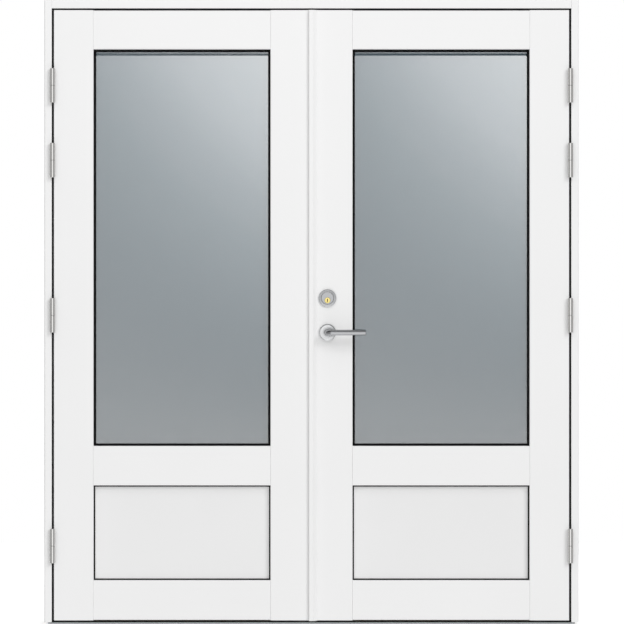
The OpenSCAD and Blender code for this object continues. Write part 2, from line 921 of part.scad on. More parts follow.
// The room for a flush bolt in the stile
module flush_bolt_bore() {
  translate([x_rod, y_mid, z_leaf1 - rod_tip - rod_l - rod_run])
    cylinder(r = rod_r + rod_run, h = rod_l + rod_tip + rod_run + over);
  edge_plate(edge_plate_w, z_bolt_plate0, z_bolt_plate1);
  slide_slot(x_lock_edge - over, x_rod);
  bolt_plate_screws();
}

module flush_bolt_top() {
  color(BRUSHED) mirror([1, 0, 0]) flush_bolt();
}

module flush_bolt_bottom() {
  color(BRUSHED) mirror([1, 0, 0]) translate([0, 0, z_leaf0 + z_leaf1]) mirror([0, 0, 1]) flush_bolt();
}

// ---------- the two lock stiles ----------

module left_lock_stile() {
  x_pocket = x_lock_edge - gap_meet + pocket_spare;
  color(PAINT) mirror([1, 0, 0]) difference() {
    stile(x_lock_edge, lock_stile_w);
    edge_plate(edge_plate_w, forend_z0, forend_z1);
    bolt_hole(latch_z, latch_h, x_lock_edge, x_pocket + latch_travel, pocket_gap);
    bolt_hole(bolt_z, bolt_h, x_lock_edge, x_pocket + bolt_travel, pocket_gap);
    forend_screws();
    upper_and_lower() flush_bolt_bore();
  }
}

module right_lock_stile() {
  x_case = x_lock_edge + edge_plate_t;
  color(PAINT) difference() {
    stile(x_lock_edge, lock_stile_w);
    edge_plate(edge_plate_w, forend_z0, forend_z1);
    box([x_case - over, y_mid - case_t / 2, case_z0 - slide_gap],
        [x_case + case_d + case_free, y_mid + case_t / 2, case_z1 + slide_gap]);
    rod_y(x_spindle, lever_z, neck_hole_r, y_out - over, y_leaf + over);
    rod_y(x_spindle, z_ring, housing_r + slide_gap, y_out - over, y_mid);
    rod_y(x_spindle, z_plug, tail_w, y_mid, y_leaf + over);
    forend_screws();
  }
}

module left_screws() {
  color(BRUSHED) mirror([1, 0, 0]) {
    leaf_hinge_screws();
    forend_screws();
    upper_and_lower() bolt_plate_screws();
  }
}

module right_screws() {
  color(BRUSHED) {
    leaf_hinge_screws();
    forend_screws();
  }
}

// ---------- lock of the right leaf ----------

module lock_case() {
  x0 = x_lock_edge + edge_plate_t;
  x1 = x0 + case_d;
  color(BRUSHED) difference() {
    union() {
      edge_plate(edge_plate_w, forend_z0, forend_z1);
      box([x0 - over, y_mid - case_t / 2, case_z0], [x1, y_mid + case_t / 2, case_z1]);
    }
    box([x0, y_mid - case_t / 2 + case_wall, case_z0 + case_wall],
        [x1 - case_wall, y_mid + case_t / 2 - case_wall, case_z1 - case_wall]);
    lock_windows(x_lock_edge - over, x0 + over, slide_gap);
    rod_y(x_spindle, lever_z, case_hole_r, y_out, y_leaf);
    rod_y(x_spindle, z_plug, case_hole_r, y_out, y_leaf);
    forend_screws();
  }
}

// The latch: a nose with a slope on its room side, a bar, and a tail that the follower's arm pushes
module latch() {
  x_nose = x_lock_edge - latch_travel;
  x_back = x_lock_edge + latch_body_l;
  x_tail = x_spindle + arm_w / 2 + tail_gap;
  y0 = y_mid - bolt_t / 2;
  y1 = y_mid + bolt_t / 2;
  z_bar = latch_z - latch_h / 2;
  color(DARK_STEEL) {
    along_z(z_bar, z_bar + latch_h) polygon([
      [x_nose, y0],
      [x_nose, y0 + latch_lip],
      [x_lock_edge - latch_flat, y1],
      [x_back, y1],
      [x_back, y0]
    ]);
    box([x_back - over, y0 + bar_trim, z_bar + bar_up], [x_tail + tail_l, y1 - bar_trim, latch_z]);
    box([x_tail, y0 + bar_trim, lever_z + follower_r + tail_up], [x_tail + tail_l, y1 - bar_trim, latch_z]);
  }
}

module deadbolt() {
  color(DARK_STEEL)
    bolt_hole(bolt_z, bolt_h, x_lock_edge + slide_gap, x_lock_edge + slide_gap + bolt_l, 0);
}

// The square hole for the spindle
module spindle_hole(y0, y1) {
  w = spindle_w / 2 + spindle_fit;
  box([x_spindle - w, y0, lever_z - w], [x_spindle + w, y1, lever_z + w]);
}

module follower() {
  y0 = y_mid - bolt_t / 2;
  y1 = y_mid + bolt_t / 2;
  color(DARK_STEEL) difference() {
    union() {
      rod_y(x_spindle, lever_z, follower_r, y0, y1);
      box([x_spindle - arm_w / 2, y0, lever_z], [x_spindle + arm_w / 2, y1, lever_z + arm_h]);
    }
    spindle_hole(y0 - over, y1 + over);
  }
}

module spindle() {
  color(DARK_STEEL)
    box([x_spindle - spindle_w / 2, y_out - spindle_in, lever_z - spindle_w / 2],
        [x_spindle + spindle_w / 2, y_leaf + spindle_in, lever_z + spindle_w / 2]);
}

// A lever on a face at y = 0: its neck comes out along -Y and bends round to a grip along X
module lever() {
  y_bend = bend_r - lever_out;
  rod_y(0, 0, lever_r, y_bend, -neck_in);
  translate([bend_r, y_bend, 0]) rotate([0, 0, 180])
    rotate_extrude(angle = 90) translate([bend_r, 0]) circle(lever_r);
  translate([bend_r, -lever_out, 0]) rotate([0, 90, 0]) {
    cylinder(r = lever_r, h = lever_l - bend_r - end_chamfer);
    translate([0, 0, lever_l - bend_r - end_chamfer])
      cylinder(r1 = lever_r, r2 = lever_r - end_chamfer, h = end_chamfer);
  }
}

module outer_lever() {
  color(BRUSHED) difference() {
    translate([x_spindle, y_out, lever_z]) lever();
    spindle_hole(y_out - spindle_in - spindle_fit, y_out);
  }
}

module inner_lever() {
  color(BRUSHED) difference() {
    translate([x_spindle, y_leaf, lever_z]) mirror([0, 1, 0]) lever();
    spindle_hole(y_leaf, y_leaf + spindle_in + spindle_fit);
  }
}

// A round plate on a face at y = 0, with a rounded rim and a hole
module rose(r, t, hole_r, rim) {
  rotate([90, 0, 0]) rotate_extrude() difference() {
    translate([hole_r, 0]) square([r - hole_r, t]);
    translate([r, t]) rotate(180) corner_loss(rim);
  }
}

module handle_roses() {
  hole_r = lever_r + slide_gap;
  color(BRUSHED) {
    translate([x_spindle, y_out, lever_z]) rose(rose_r, rose_t, hole_r, rose_rim);
    translate([x_spindle, y_leaf, lever_z]) mirror([0, 1, 0]) rose(rose_r, rose_t, hole_r, rose_rim);
  }
}

module cylinder_ring() {
  color(BRUSHED) translate([x_spindle, y_out, z_ring]) {
    rose(ring_r, ring_t, housing_r + slide_gap, ring_rim);
    rose(collar_r, collar_t, housing_r + slide_gap, collar_rim);
  }
}

module cylinder_housing() {
  color(BRUSHED) difference() {
    rod_y(x_spindle, z_ring, housing_r, y_out - housing_out, y_mid - case_t / 2);
    rod_y(x_spindle, z_plug, plug_r + run, y_out - housing_out - over, y_mid);
  }
}

module key_plug() {
  y_front = y_out - plug_out;
  y_back = y_mid - case_t / 2 - slide_gap;
  color(BRASS) {
    difference() {
      rod_y(x_spindle, z_plug, plug_r, y_front, y_back);
      box([x_spindle - key_slot_w / 2, y_front - over, z_plug - key_slot_h / 2],
          [x_spindle + key_slot_w / 2, y_front + key_slot_d, z_plug + key_slot_h / 2]);
    }
    box([x_spindle - tail_t / 2, y_back - over, z_plug - tail_w / 2],
        [x_spindle + tail_t / 2, y_leaf + thumb_rose_t, z_plug + tail_w / 2]);
  }
}

module thumb_rose() {
  color(BRUSHED) translate([x_spindle, y_leaf, z_plug]) mirror([0, 1, 0])
    rose(thumb_rose_r, thumb_rose_t, boss_r + slide_gap, ring_rim);
}

module thumb_turn() {
  y0 = y_leaf + neck_in;
  y1 = y_leaf + thumb_rose_t + boss_out;
  w = tail_t / 2 + tail_fit;
  h = tail_w / 2 + tail_fit;
  color(BRUSHED) difference() {
    union() {
      rod_y(x_spindle, z_plug, boss_r, y0, y1);
      translate([x_spindle - wing_w / 2, y1 - over, z_plug - wing_h / 2])
        rotate([90, 0, 90]) linear_extrude(wing_w) rounded_section(wing_out, wing_h, wing_corner);
    }
    box([x_spindle - w, y0 - over, z_plug - h], [x_spindle + w, y_leaf + thumb_rose_t + tail_fit, z_plug + h]);
  }
}

jamb_left();
jamb_right();
head();
threshold_plate();
threshold_stop();
frame_seal();
threshold_seal();
frame_screws();
bolt_keepers();
frame_hinges();
hinge_pins();
hinge_screws();
hinge_stile(-1);  // left_hinge_stile
left_lock_stile();
top_rail(-1);  // left_top_rail
mid_rail(-1);  // left_mid_rail
bottom_rail(-1);  // left_bottom_rail
pane(-1, y_pane);  // left_outer_pane
pane(-1, y_unit - pane_t);  // left_inner_pane
spacer(-1);  // left_spacer
setting_blocks(-1);  // left_setting_blocks
gaskets(-1);  // left_gaskets
beads(-1);  // left_beads
panel(-1);  // left_panel
leaf_hinges(-1);  // left_hinges
left_screws();
inner_strip();
meeting_seal();
strike_plate();
bolt_plates();
flush_bolt_top();
flush_bolt_bottom();
hinge_stile(1);  // right_hinge_stile
right_lock_stile();
top_rail(1);  // right_top_rail
mid_rail(1);  // right_mid_rail
bottom_rail(1);  // right_bottom_rail
pane(1, y_pane);  // right_outer_pane
pane(1, y_unit - pane_t);  // right_inner_pane
spacer(1);  // right_spacer
setting_blocks(1);  // right_setting_blocks
gaskets(1);  // right_gaskets
beads(1);  // right_beads
panel(1);  // right_panel
leaf_hinges(1);  // right_hinges
right_screws();
cover_strip();
lock_case();
latch();
deadbolt();
follower();
spindle();
outer_lever();
inner_lever();
handle_roses();
cylinder_ring();
cylinder_housing();
key_plug();
thumb_rose();
thumb_turn();
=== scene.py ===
import json
import math

import bpy
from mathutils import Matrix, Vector


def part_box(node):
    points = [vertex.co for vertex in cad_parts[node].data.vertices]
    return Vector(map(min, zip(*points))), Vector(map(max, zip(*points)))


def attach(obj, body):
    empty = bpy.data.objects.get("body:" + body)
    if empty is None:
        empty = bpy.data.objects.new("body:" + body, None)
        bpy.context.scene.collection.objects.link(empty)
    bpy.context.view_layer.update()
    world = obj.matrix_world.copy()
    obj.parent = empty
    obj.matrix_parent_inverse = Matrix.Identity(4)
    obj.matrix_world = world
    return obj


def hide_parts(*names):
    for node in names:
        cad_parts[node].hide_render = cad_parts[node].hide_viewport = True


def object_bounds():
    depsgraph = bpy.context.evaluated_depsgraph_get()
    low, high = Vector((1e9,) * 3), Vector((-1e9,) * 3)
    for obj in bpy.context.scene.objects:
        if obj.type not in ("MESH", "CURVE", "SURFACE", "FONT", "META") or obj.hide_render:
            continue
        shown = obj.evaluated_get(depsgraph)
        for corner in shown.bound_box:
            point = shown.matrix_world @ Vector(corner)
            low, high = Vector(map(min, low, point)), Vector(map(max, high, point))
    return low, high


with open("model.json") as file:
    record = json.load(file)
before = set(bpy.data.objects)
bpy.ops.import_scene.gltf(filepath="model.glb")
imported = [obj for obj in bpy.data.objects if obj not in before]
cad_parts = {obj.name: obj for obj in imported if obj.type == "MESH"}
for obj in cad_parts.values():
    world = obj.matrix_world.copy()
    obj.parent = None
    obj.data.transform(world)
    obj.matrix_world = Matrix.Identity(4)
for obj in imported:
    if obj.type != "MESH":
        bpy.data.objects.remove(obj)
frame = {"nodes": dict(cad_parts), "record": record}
cad_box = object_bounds()
low, high = cad_box

MM = 0.001
X_AXIS, Z_AXIS = 0, 2
# edges that turn by more than this are rounded and stay crisp in the shading
SHARP = math.radians(30)


# ---------- colours and nodes ----------

def linear(hex_colour):
    """An sRGB hex colour as linear RGBA."""
    parts = [int(hex_colour[i:i + 2], 16) / 255 for i in (1, 3, 5)]
    return [c / 12.92 if c <= 0.04045 else ((c + 0.055) / 1.055) ** 2.4 for c in parts] + [1]


def add(tree, kind, inputs=None, **settings):
    """Adds one node. An input's value is a number, a colour or another node's output socket."""
    node = tree.nodes.new(kind)
    for name, value in settings.items():
        setattr(node, name, value)
    for name, value in (inputs or {}).items():
        if isinstance(value, bpy.types.NodeSocket):
            tree.links.new(value, node.inputs[name])
        else:
            node.inputs[name].default_value = value
    return node


def fill_ramp(node, stops):
    """Gives a colour ramp its stops, as (position, colour) pairs."""
    elements = node.color_ramp.elements
    while len(elements) < len(stops):
        elements.new(1)
    for element, (position, colour) in zip(elements, stops):
        element.position = position
        element.color = colour


def new_material(name, **inputs):
    """A material with one Principled shader, and the place of a point in the object's own frame."""
    material = bpy.data.materials.new(name)
    material.use_nodes = True
    tree = material.node_tree
    tree.nodes.clear()
    shader = add(tree, "ShaderNodeBsdfPrincipled", inputs)
    add(tree, "ShaderNodeOutputMaterial", {"Surface": shader.outputs["BSDF"]})
    place = add(tree, "ShaderNodeTexCoord").outputs["Object"]
    return material, tree, shader, place


def grey(value):
    """A neutral linear colour."""
    return [value, value, value, 1]


# ---------- materials ----------
# a texture's Scale is in repeats per metre: 500 is a pattern 2 mm wide

def painted_wood(name, along):
    """Sprayed white alkyd paint on pine: satin, with the grain just felt along each board."""
    material, tree, shader, place = new_material(name, Roughness=0.42)
    # grain lines 2 mm apart, drawn out to 170 mm along the board
    stretch = [500, 500, 500]
    stretch[along] = 6
    grain_place = add(tree, "ShaderNodeMapping", {"Vector": place, "Scale": stretch})
    grain = add(tree, "ShaderNodeTexNoise",
                {"Vector": grain_place.outputs["Vector"], "Scale": 1.0, "Detail": 2.0})
    # slow change of shade, over about 330 mm, as on any sprayed board
    cloud = add(tree, "ShaderNodeTexNoise", {"Vector": place, "Scale": 3.0, "Detail": 1.0})
    tone = add(tree, "ShaderNodeMix", {"Factor": cloud.outputs["Fac"],
                                       "A": linear("#EEEEEE"), "B": linear("#F1F1F1")},
               data_type="RGBA")
    tree.links.new(tone.outputs[2], shader.inputs["Base Color"])
    bump = add(tree, "ShaderNodeBump", {"Height": grain.outputs["Fac"], "Strength": 0.12,
                                        "Distance": 0.2 * MM})
    tree.links.new(bump.outputs["Normal"], shader.inputs["Normal"])
    return material


def painted_board(name):
    """Sprayed white paint on a flat board: finer and flatter than on the pine, and a little darker, as
    painted shade in the panel's recess.
    """
    material, tree, shader, place = new_material(name, Roughness=0.45)
    # slow change of shade, over 250 mm
    cloud = add(tree, "ShaderNodeTexNoise", {"Vector": place, "Scale": 4.0, "Detail": 1.0})
    # both tones are a little darker than the pine's white, as painted shade in the recessed panel
    tone = add(tree, "ShaderNodeMix", {"Factor": cloud.outputs["Fac"],
                                       "A": linear("#E9E9E9"), "B": linear("#ECECEC")},
               data_type="RGBA")
    tree.links.new(tone.outputs[2], shader.inputs["Base Color"])
    # spray texture, about 1.5 mm across
    peel = add(tree, "ShaderNodeTexNoise", {"Vector": place, "Scale": 650.0, "Detail": 1.0})
    bump = add(tree, "ShaderNodeBump", {"Height": peel.outputs["Fac"], "Strength": 0.1,
                                        "Distance": 0.1 * MM})
    tree.links.new(bump.outputs["Normal"], shader.inputs["Normal"])
    return material


def insulating_glass(name, pane):
    """Tinted float glass with a painted sky reflection: paler at the upper right and darker lower
    down.
    """
    material, tree, shader, place = new_material(name, Roughness=0.03, IOR=1.5)
    lo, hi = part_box(pane)
    # how much the pane's width counts beside its height, and what a skin and a cavity face hold back
    slant = 0.9
    skin_weight, cavity_weight = 1.62, 0.1
    axes = add(tree, "ShaderNodeSeparateXYZ", {"Vector": place})
    across = add(tree, "ShaderNodeMapRange", {"Value": axes.outputs["X"],
                                              "From Min": lo.x, "From Max": hi.x})
    up = add(tree, "ShaderNodeMapRange", {"Value": axes.outputs["Z"],
                                          "From Min": lo.z, "From Max": hi.z})
    # the painted reflection's paler part has an edge that runs askew: it grows to the right and
    # upwards
    lean = add(tree, "ShaderNodeMath", {0: across.outputs["Result"], 1: slant, 2: 1.0},
               operation="MULTIPLY_ADD")
    reach = add(tree, "ShaderNodeMath", {0: up.outputs["Result"], 1: lean.outputs["Value"]},
                operation="MULTIPLY")
    share = add(tree, "ShaderNodeMath", {0: reach.outputs["Value"], 1: 1 + slant},
                operation="DIVIDE")
    # how much a face of the unit holds back, on average, which paints the sky reflection: the less it
    # holds back, the paler the glass
    painted_sky_cover = add(tree, "ShaderNodeValToRGB", {"Fac": share.outputs["Value"]})
    painted_sky_cover.color_ramp.interpolation = "B_SPLINE"
    fill_ramp(painted_sky_cover, [(0.00, grey(0.302)), (0.14, grey(0.344)), (0.28, grey(0.343)),
                      (0.40, grey(0.314)), (0.53, grey(0.284)), (0.72, grey(0.200)),
                      (1.00, grey(0.129))])
    # nearly all of it is in the unit's two outward skins, and the faces in its cavity stay clear
    skin, cavity = (lo.y, hi.y) if "outer" in pane else (hi.y, lo.y)
    weight = add(tree, "ShaderNodeMapRange", {"Value": axes.outputs["Y"], "From Min": skin,
                                              "From Max": cavity, "To Min": skin_weight,
                                              "To Max": cavity_weight})
    held = add(tree, "ShaderNodeMath", {0: painted_sky_cover.outputs["Color"], 1: weight.outputs["Result"]},
               operation="MULTIPLY")
    tree.links.new(held.outputs["Value"], shader.inputs["Alpha"])
    # the tint follows the same painted sky reflection, bluer towards the upper right
    tint = add(tree, "ShaderNodeMix", {"Factor": share.outputs["Value"],
                                       "A": linear("#546168"), "B": linear("#587887")},
               data_type="RGBA")
    tree.links.new(tint.outputs[2], shader.inputs["Base Color"])
    return material


def moulded_rubber(name):
    """Extruded black EPDM: matt and deep black, with a faint bloom."""
    material, tree, shader, place = new_material(name, Roughness=0.7)
    shader.inputs["Specular IOR Level"].default_value = 0.15
    # bloom in patches of about 11 mm
    bloom = add(tree, "ShaderNodeTexNoise", {"Vector": place, "Scale": 90.0, "Detail": 2.0})
    tone = add(tree, "ShaderNodeMix", {"Factor": bloom.outputs["Fac"],
                                       "A": linear("#050506"), "B": linear("#0C0D0E")},
               data_type="RGBA")
    tree.links.new(tone.outputs[2], shader.inputs["Base Color"])
    return material


def edge_spacer(name, pane):
    """The glass unit's folded black spacer bar, with a painted reflection on its top bar: light grey
    metal above a height, its own dark colour below it.
    """
    material, tree, shader, place = new_material(name, Roughness=0.5)
    axes = add(tree, "ShaderNodeSeparateXYZ", {"Vector": place})
    # below this height, under the top rail, the bar keeps its own dark colour; above it the painted
    # reflection is light grey and metallic
    edge_below_rail = 12 * MM
    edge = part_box(pane.replace("outer_pane", "top_rail"))[0].z - edge_below_rail
    step = add(tree, "ShaderNodeMath", {0: axes.outputs["Z"], 1: edge}, operation="GREATER_THAN")
    tone = add(tree, "ShaderNodeMix", {"Factor": step.outputs["Value"],
                                       "A": linear("#26282A"), "B": linear("#E4E7E9")},
               data_type="RGBA")
    tree.links.new(tone.outputs[2], shader.inputs["Base Color"])
    tree.links.new(step.outputs["Value"], shader.inputs["Metallic"])
    return material


def anodised_aluminium(name):
    """Extruded and anodised: fine lines along its length and a soft grey shine."""
    material, tree, shader, place = new_material(name, Metallic=1.0)
    shader.inputs["Base Color"].default_value = linear("#A4A7A9")
    # die lines 1.4 mm apart, coarser than real ones so that they show, and 250 mm long
    lines_place = add(tree, "ShaderNodeMapping", {"Vector": place, "Scale": (4, 700, 700)})
    lines = add(tree, "ShaderNodeTexNoise",
                {"Vector": lines_place.outputs["Vector"], "Scale": 1.0, "Detail": 2.0})
    rough = add(tree, "ShaderNodeMapRange", {"Value": lines.outputs["Fac"],
                                             "To Min": 0.35, "To Max": 0.5})
    tree.links.new(rough.outputs["Result"], shader.inputs["Roughness"])
    return material


def oiled_oak(name):
    """Planed and oiled oak: warm streaks along the board, with darker pores."""
    material, tree, shader, place = new_material(name, Roughness=0.5)
    # streaks 3.3 mm apart, 200 mm long
    streak_place = add(tree, "ShaderNodeMapping", {"Vector": place, "Scale": (5, 300, 300)})
    streaks = add(tree, "ShaderNodeTexNoise",
                  {"Vector": streak_place.outputs["Vector"], "Scale": 1.0, "Detail": 4.0})
    ramp = add(tree, "ShaderNodeValToRGB", {"Fac": streaks.outputs["Fac"]})
    fill_ramp(ramp, [(0.30, linear("#7D5B36")), (0.45, linear("#A9804F")),
                     (0.70, linear("#C29C68"))])
    tree.links.new(ramp.outputs["Color"], shader.inputs["Base Color"])
    bump = add(tree, "ShaderNodeBump", {"Height": streaks.outputs["Fac"], "Strength": 0.3,
                                        "Distance": 0.3 * MM})
    tree.links.new(bump.outputs["Normal"], shader.inputs["Normal"])
    return material


def plated_metal(name, colour, roughness, grain_mm):
    """A plated or polished metal: its shine changes a little from place to place."""
    material, tree, shader, place = new_material(name, Metallic=1.0)
    shader.inputs["Base Color"].default_value = linear(colour)
    grain = add(tree, "ShaderNodeTexNoise",
                {"Vector": place, "Scale": 1 / (grain_mm * MM), "Detail": 2.0})
    rough = add(tree, "ShaderNodeMapRange", {"Value": grain.outputs["Fac"],
                                             "To Min": roughness[0], "To Max": roughness[1]})
    tree.links.new(rough.outputs["Result"], shader.inputs["Roughness"])
    return material


def brushed_along(name, colour):
    """Stainless bar, brushed along its length: fine lines that break up the shine across it."""
    material, tree, shader, place = new_material(name, Metallic=1.0)
    shader.inputs["Base Color"].default_value = linear(colour)
    # brush lines 0.7 mm apart, coarser than real ones so that they show, and 30 mm long
    lines_place = add(tree, "ShaderNodeMapping", {"Vector": place, "Scale": (33, 1400, 1400)})
    lines = add(tree, "ShaderNodeTexNoise",
                {"Vector": lines_place.outputs["Vector"], "Scale": 1.0, "Detail": 2.0})
    rough = add(tree, "ShaderNodeMapRange", {"Value": lines.outputs["Fac"],
                                             "To Min": 0.17, "To Max": 0.28})
    tree.links.new(rough.outputs["Result"], shader.inputs["Roughness"])
    bump = add(tree, "ShaderNodeBump", {"Height": lines.outputs["Fac"], "Strength": 0.15,
                                        "Distance": 0.05 * MM})
    tree.links.new(bump.outputs["Normal"], shader.inputs["Normal"])
    return material


def brushed_round(name, colour, centre):
    """Stainless turned and brushed on a lathe: fine rings round the middle."""
    material, tree, shader, place = new_material(name, Metallic=1.0)
    shader.inputs["Base Color"].default_value = linear(colour)
    middle = add(tree, "ShaderNodeMapping", {"Vector": place, "Location": [-c for c in centre],
                                             "Scale": (1, 0, 1)})
    radius = add(tree, "ShaderNodeVectorMath", {0: middle.outputs["Vector"]}, operation="LENGTH")
    # rings 0.6 mm apart, coarser than real ones so that they show
    rings = add(tree, "ShaderNodeTexNoise", {"W": radius.outputs["Value"], "Scale": 1600.0,
                                             "Detail": 1.0}, noise_dimensions="1D")
    rough = add(tree, "ShaderNodeMapRange", {"Value": rings.outputs["Fac"],
                                             "To Min": 0.2, "To Max": 0.34})
    tree.links.new(rough.outputs["Result"], shader.inputs["Roughness"])
    bump = add(tree, "ShaderNodeBump", {"Height": rings.outputs["Fac"], "Strength": 0.2,
                                        "Distance": 0.05 * MM})
    tree.links.new(bump.outputs["Normal"], shader.inputs["Normal"])
    return material


def turned_brass(name, front):
    """Polished brass, with painted shade inside the key slot: darker the deeper it goes."""
    material, tree, shader, place = new_material(name, Metallic=1.0, Roughness=0.24)
    # the depths at which the painted shade starts and is complete
    painted_shade_from, painted_shade_to = 0.5 * MM, 3 * MM
    axes = add(tree, "ShaderNodeSeparateXYZ", {"Vector": place})
    depth = add(tree, "ShaderNodeMapRange", {"Value": axes.outputs["Y"],
                                             "From Min": front + painted_shade_from,
                                             "From Max": front + painted_shade_to})
    tone = add(tree, "ShaderNodeMix", {"Factor": depth.outputs["Result"],
                                       "A": linear("#E6D48B"), "B": linear("#5B4314")},
               data_type="RGBA")
    tree.links.new(tone.outputs[2], shader.inputs["Base Color"])
    return material


FINISHES = {
    "white_board": painted_board("sprayed_board_painted_shade"),
    "black_rubber": moulded_rubber("epdm_rubber"),
    "sill_metal": anodised_aluminium("anodised_aluminium"),
    "oak": oiled_oak("oiled_oak"),
    "hinge_steel": plated_metal("satin_nickel_steel", "#DAD9D7", roughness=(0.12, 0.2), grain_mm=3),
    "handle_steel": brushed_along("brushed_stainless_bar", "#A5A6A8"),
    "lock_steel": plated_metal("zinc_plated_steel", "#A9ABAD", roughness=(0.3, 0.45), grain_mm=3),
    "brass": plated_metal("polished_brass", "#F0D67A", roughness=(0.2, 0.3), grain_mm=2),
}
UPRIGHT_PAINT = painted_wood("painted_pine_upright", along=Z_AXIS)
LEVEL_PAINT = painted_wood("painted_pine_level", along=X_AXIS)
LEVEL_BOARDS = ("head", "top_rail", "mid_rail", "bottom_rail")

for part in frame["record"]["subparts"]:
    name, slot = part["node"], part["material_slot"]
    if slot == "white_paint":
        finish = LEVEL_PAINT if name.endswith(LEVEL_BOARDS) else UPRIGHT_PAINT
    elif slot == "glass":
        finish = insulating_glass("sky_painted_glass_" + name, name)
    elif slot == "black_spacer":
        finish = edge_spacer("spacer_painted_reflection_" + name, name.replace("spacer", "outer_pane"))
    else:
        finish = FINISHES[slot]
    for spot in frame["nodes"][name].material_slots:
        spot.material = finish


# ---------- hardware in finer detail ----------
# profiles and named sizes in this section are in mm, and places are in metres

# gap round a neck, a plug or a boss in the piece that it comes through
NECK_GAP = 0.4
# radius of the thumb turn's round boss
THUMB_BOSS = 8.0
BODY_OF = {node: body for body, members in frame["record"]["behaviour"]["bodies"].items()
           for node in members}


def apply_modifier(piece, name, kind, **settings):
    """Adds a modifier to the active piece and applies it."""
    modifier = piece.modifiers.new(name, kind)
    for key, value in settings.items():
        setattr(modifier, key, value)
    bpy.ops.object.modifier_apply(modifier=name)


def settle(piece, bevel):
    """Rounds a new piece's edges, smooths it and leaves its object at the origin."""
    bpy.ops.object.select_all(action="DESELECT")
    piece.select_set(True)
    bpy.context.view_layer.objects.active = piece
    if bevel:
        apply_modifier(piece, "edges", "BEVEL", width=bevel * MM, segments=2,
                       limit_method="ANGLE", angle_limit=SHARP)
    bpy.ops.object.shade_smooth_by_angle(angle=SHARP)
    bpy.ops.object.transform_apply(location=True, rotation=True, scale=True)


def turn(name, centre, facing, profile, bevel=0.2, sides=96):
    """A piece turned on an axis along Y, facing the outside (-1) or the room (1).

    Its profile is (out, radius), with out counted from the centre. One that ends where it starts
    makes a ring, and any other is closed by a flat at each end.
    """
    centre = Vector(centre)
    out, radius = profile[0]
    bpy.ops.object.select_all(action="DESELECT")
    bpy.ops.mesh.primitive_circle_add(vertices=sides, radius=radius * MM,
                                      location=centre + Vector((0, facing * out * MM, 0)),
                                      rotation=(math.radians(90), 0, 0))
    piece = bpy.context.object
    piece.name = name
    bpy.ops.object.mode_set(mode="EDIT")
    bpy.ops.mesh.select_all(action="SELECT")
    for (out, radius), (next_out, next_radius) in zip(profile, profile[1:]):
        step = (0, facing * (next_out - out) * MM, 0)
        bpy.ops.mesh.extrude_region_move(TRANSFORM_OT_translate={"value": step})
        grow = next_radius / radius
        bpy.ops.transform.resize(value=(grow, 1, grow), center_override=centre)
    bpy.ops.mesh.select_all(action="SELECT")
    bpy.ops.mesh.remove_doubles(threshold=0.01 * MM)
    if profile[0] != profile[-1]:
        bpy.ops.mesh.fill_holes(sides=0)
    bpy.ops.mesh.normals_make_consistent(inside=False)
    bpy.ops.object.mode_set(mode="OBJECT")
    settle(piece, bevel)
    return piece


def fit_out(piece, node, finish, stands_for=True):
    """Gives a new piece its finish and body, and lets it stand for a CAD node."""
    piece.data.materials.clear()
    piece.data.materials.append(finish)
    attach(piece, BODY_OF[node])
    if stands_for:
        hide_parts(node)


def middle_of(node):
    """The middle of a node's box across and in height, and its half width in mm."""
    lo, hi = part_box(node)
    return (lo.x + hi.x) / 2, (lo.z + hi.z) / 2, (hi.x - lo.x) / 2 / MM


def loose_parts(node):
    """The points of each separate solid of a CAD node."""
    bpy.ops.object.select_all(action="DESELECT")
    copy = frame["nodes"][node].copy()
    copy.data = copy.data.copy()
    copy.parent = None
    bpy.context.scene.collection.objects.link(copy)
    copy.select_set(True)
    bpy.context.view_layer.objects.active = copy
    bpy.ops.object.mode_set(mode="EDIT")
    bpy.ops.mesh.select_all(action="SELECT")
    bpy.ops.mesh.remove_doubles(threshold=0.001 * MM)
    bpy.ops.mesh.separate(type="LOOSE")
    bpy.ops.object.mode_set(mode="OBJECT")
    parts = []
    for part in list(bpy.context.selected_objects):
        parts.append([vertex.co.copy() for vertex in part.data.vertices])
        bpy.data.objects.remove(part)
    return parts


def join_all(name, pieces):
    """One piece of several, with its object at the origin."""
    bpy.ops.object.select_all(action="DESELECT")
    for piece in pieces:
        piece.select_set(True)
    bpy.context.view_layer.objects.active = pieces[0]
    bpy.ops.object.transform_apply(location=True, rotation=True, scale=True)
    bpy.ops.object.join()
    joined = bpy.context.object
    joined.name = name
    settle(joined, 0)
    return joined


def extent(points):
    """The lowest and highest corner of a set of points."""
    return (Vector([min(p[i] for p in points) for i in range(3)]),
            Vector([max(p[i] for p in points) for i in range(3)]))


def twin(pattern, location, rotation):
    """A copy of a pattern piece, with its own mesh, at a place and turn."""
    copy = pattern.copy()
    copy.data = copy.data.copy()
    bpy.context.scene.collection.objects.link(copy)
    copy.location = location
    copy.rotation_euler = rotation
    return copy


def block(middle, size):
    """A block to shape or to cut with, selected alone."""
    bpy.ops.object.select_all(action="DESELECT")
    bpy.ops.mesh.primitive_cube_add(size=1, location=middle, scale=size)
    return bpy.context.object


def cut(piece, tool):
    """Cuts a tool's shape out of a piece and takes the tool away."""
    bpy.context.view_layer.objects.active = piece
    apply_modifier(piece, "cut", "BOOLEAN", object=tool, operation="DIFFERENCE", solver="EXACT")
    bpy.data.objects.remove(tool)


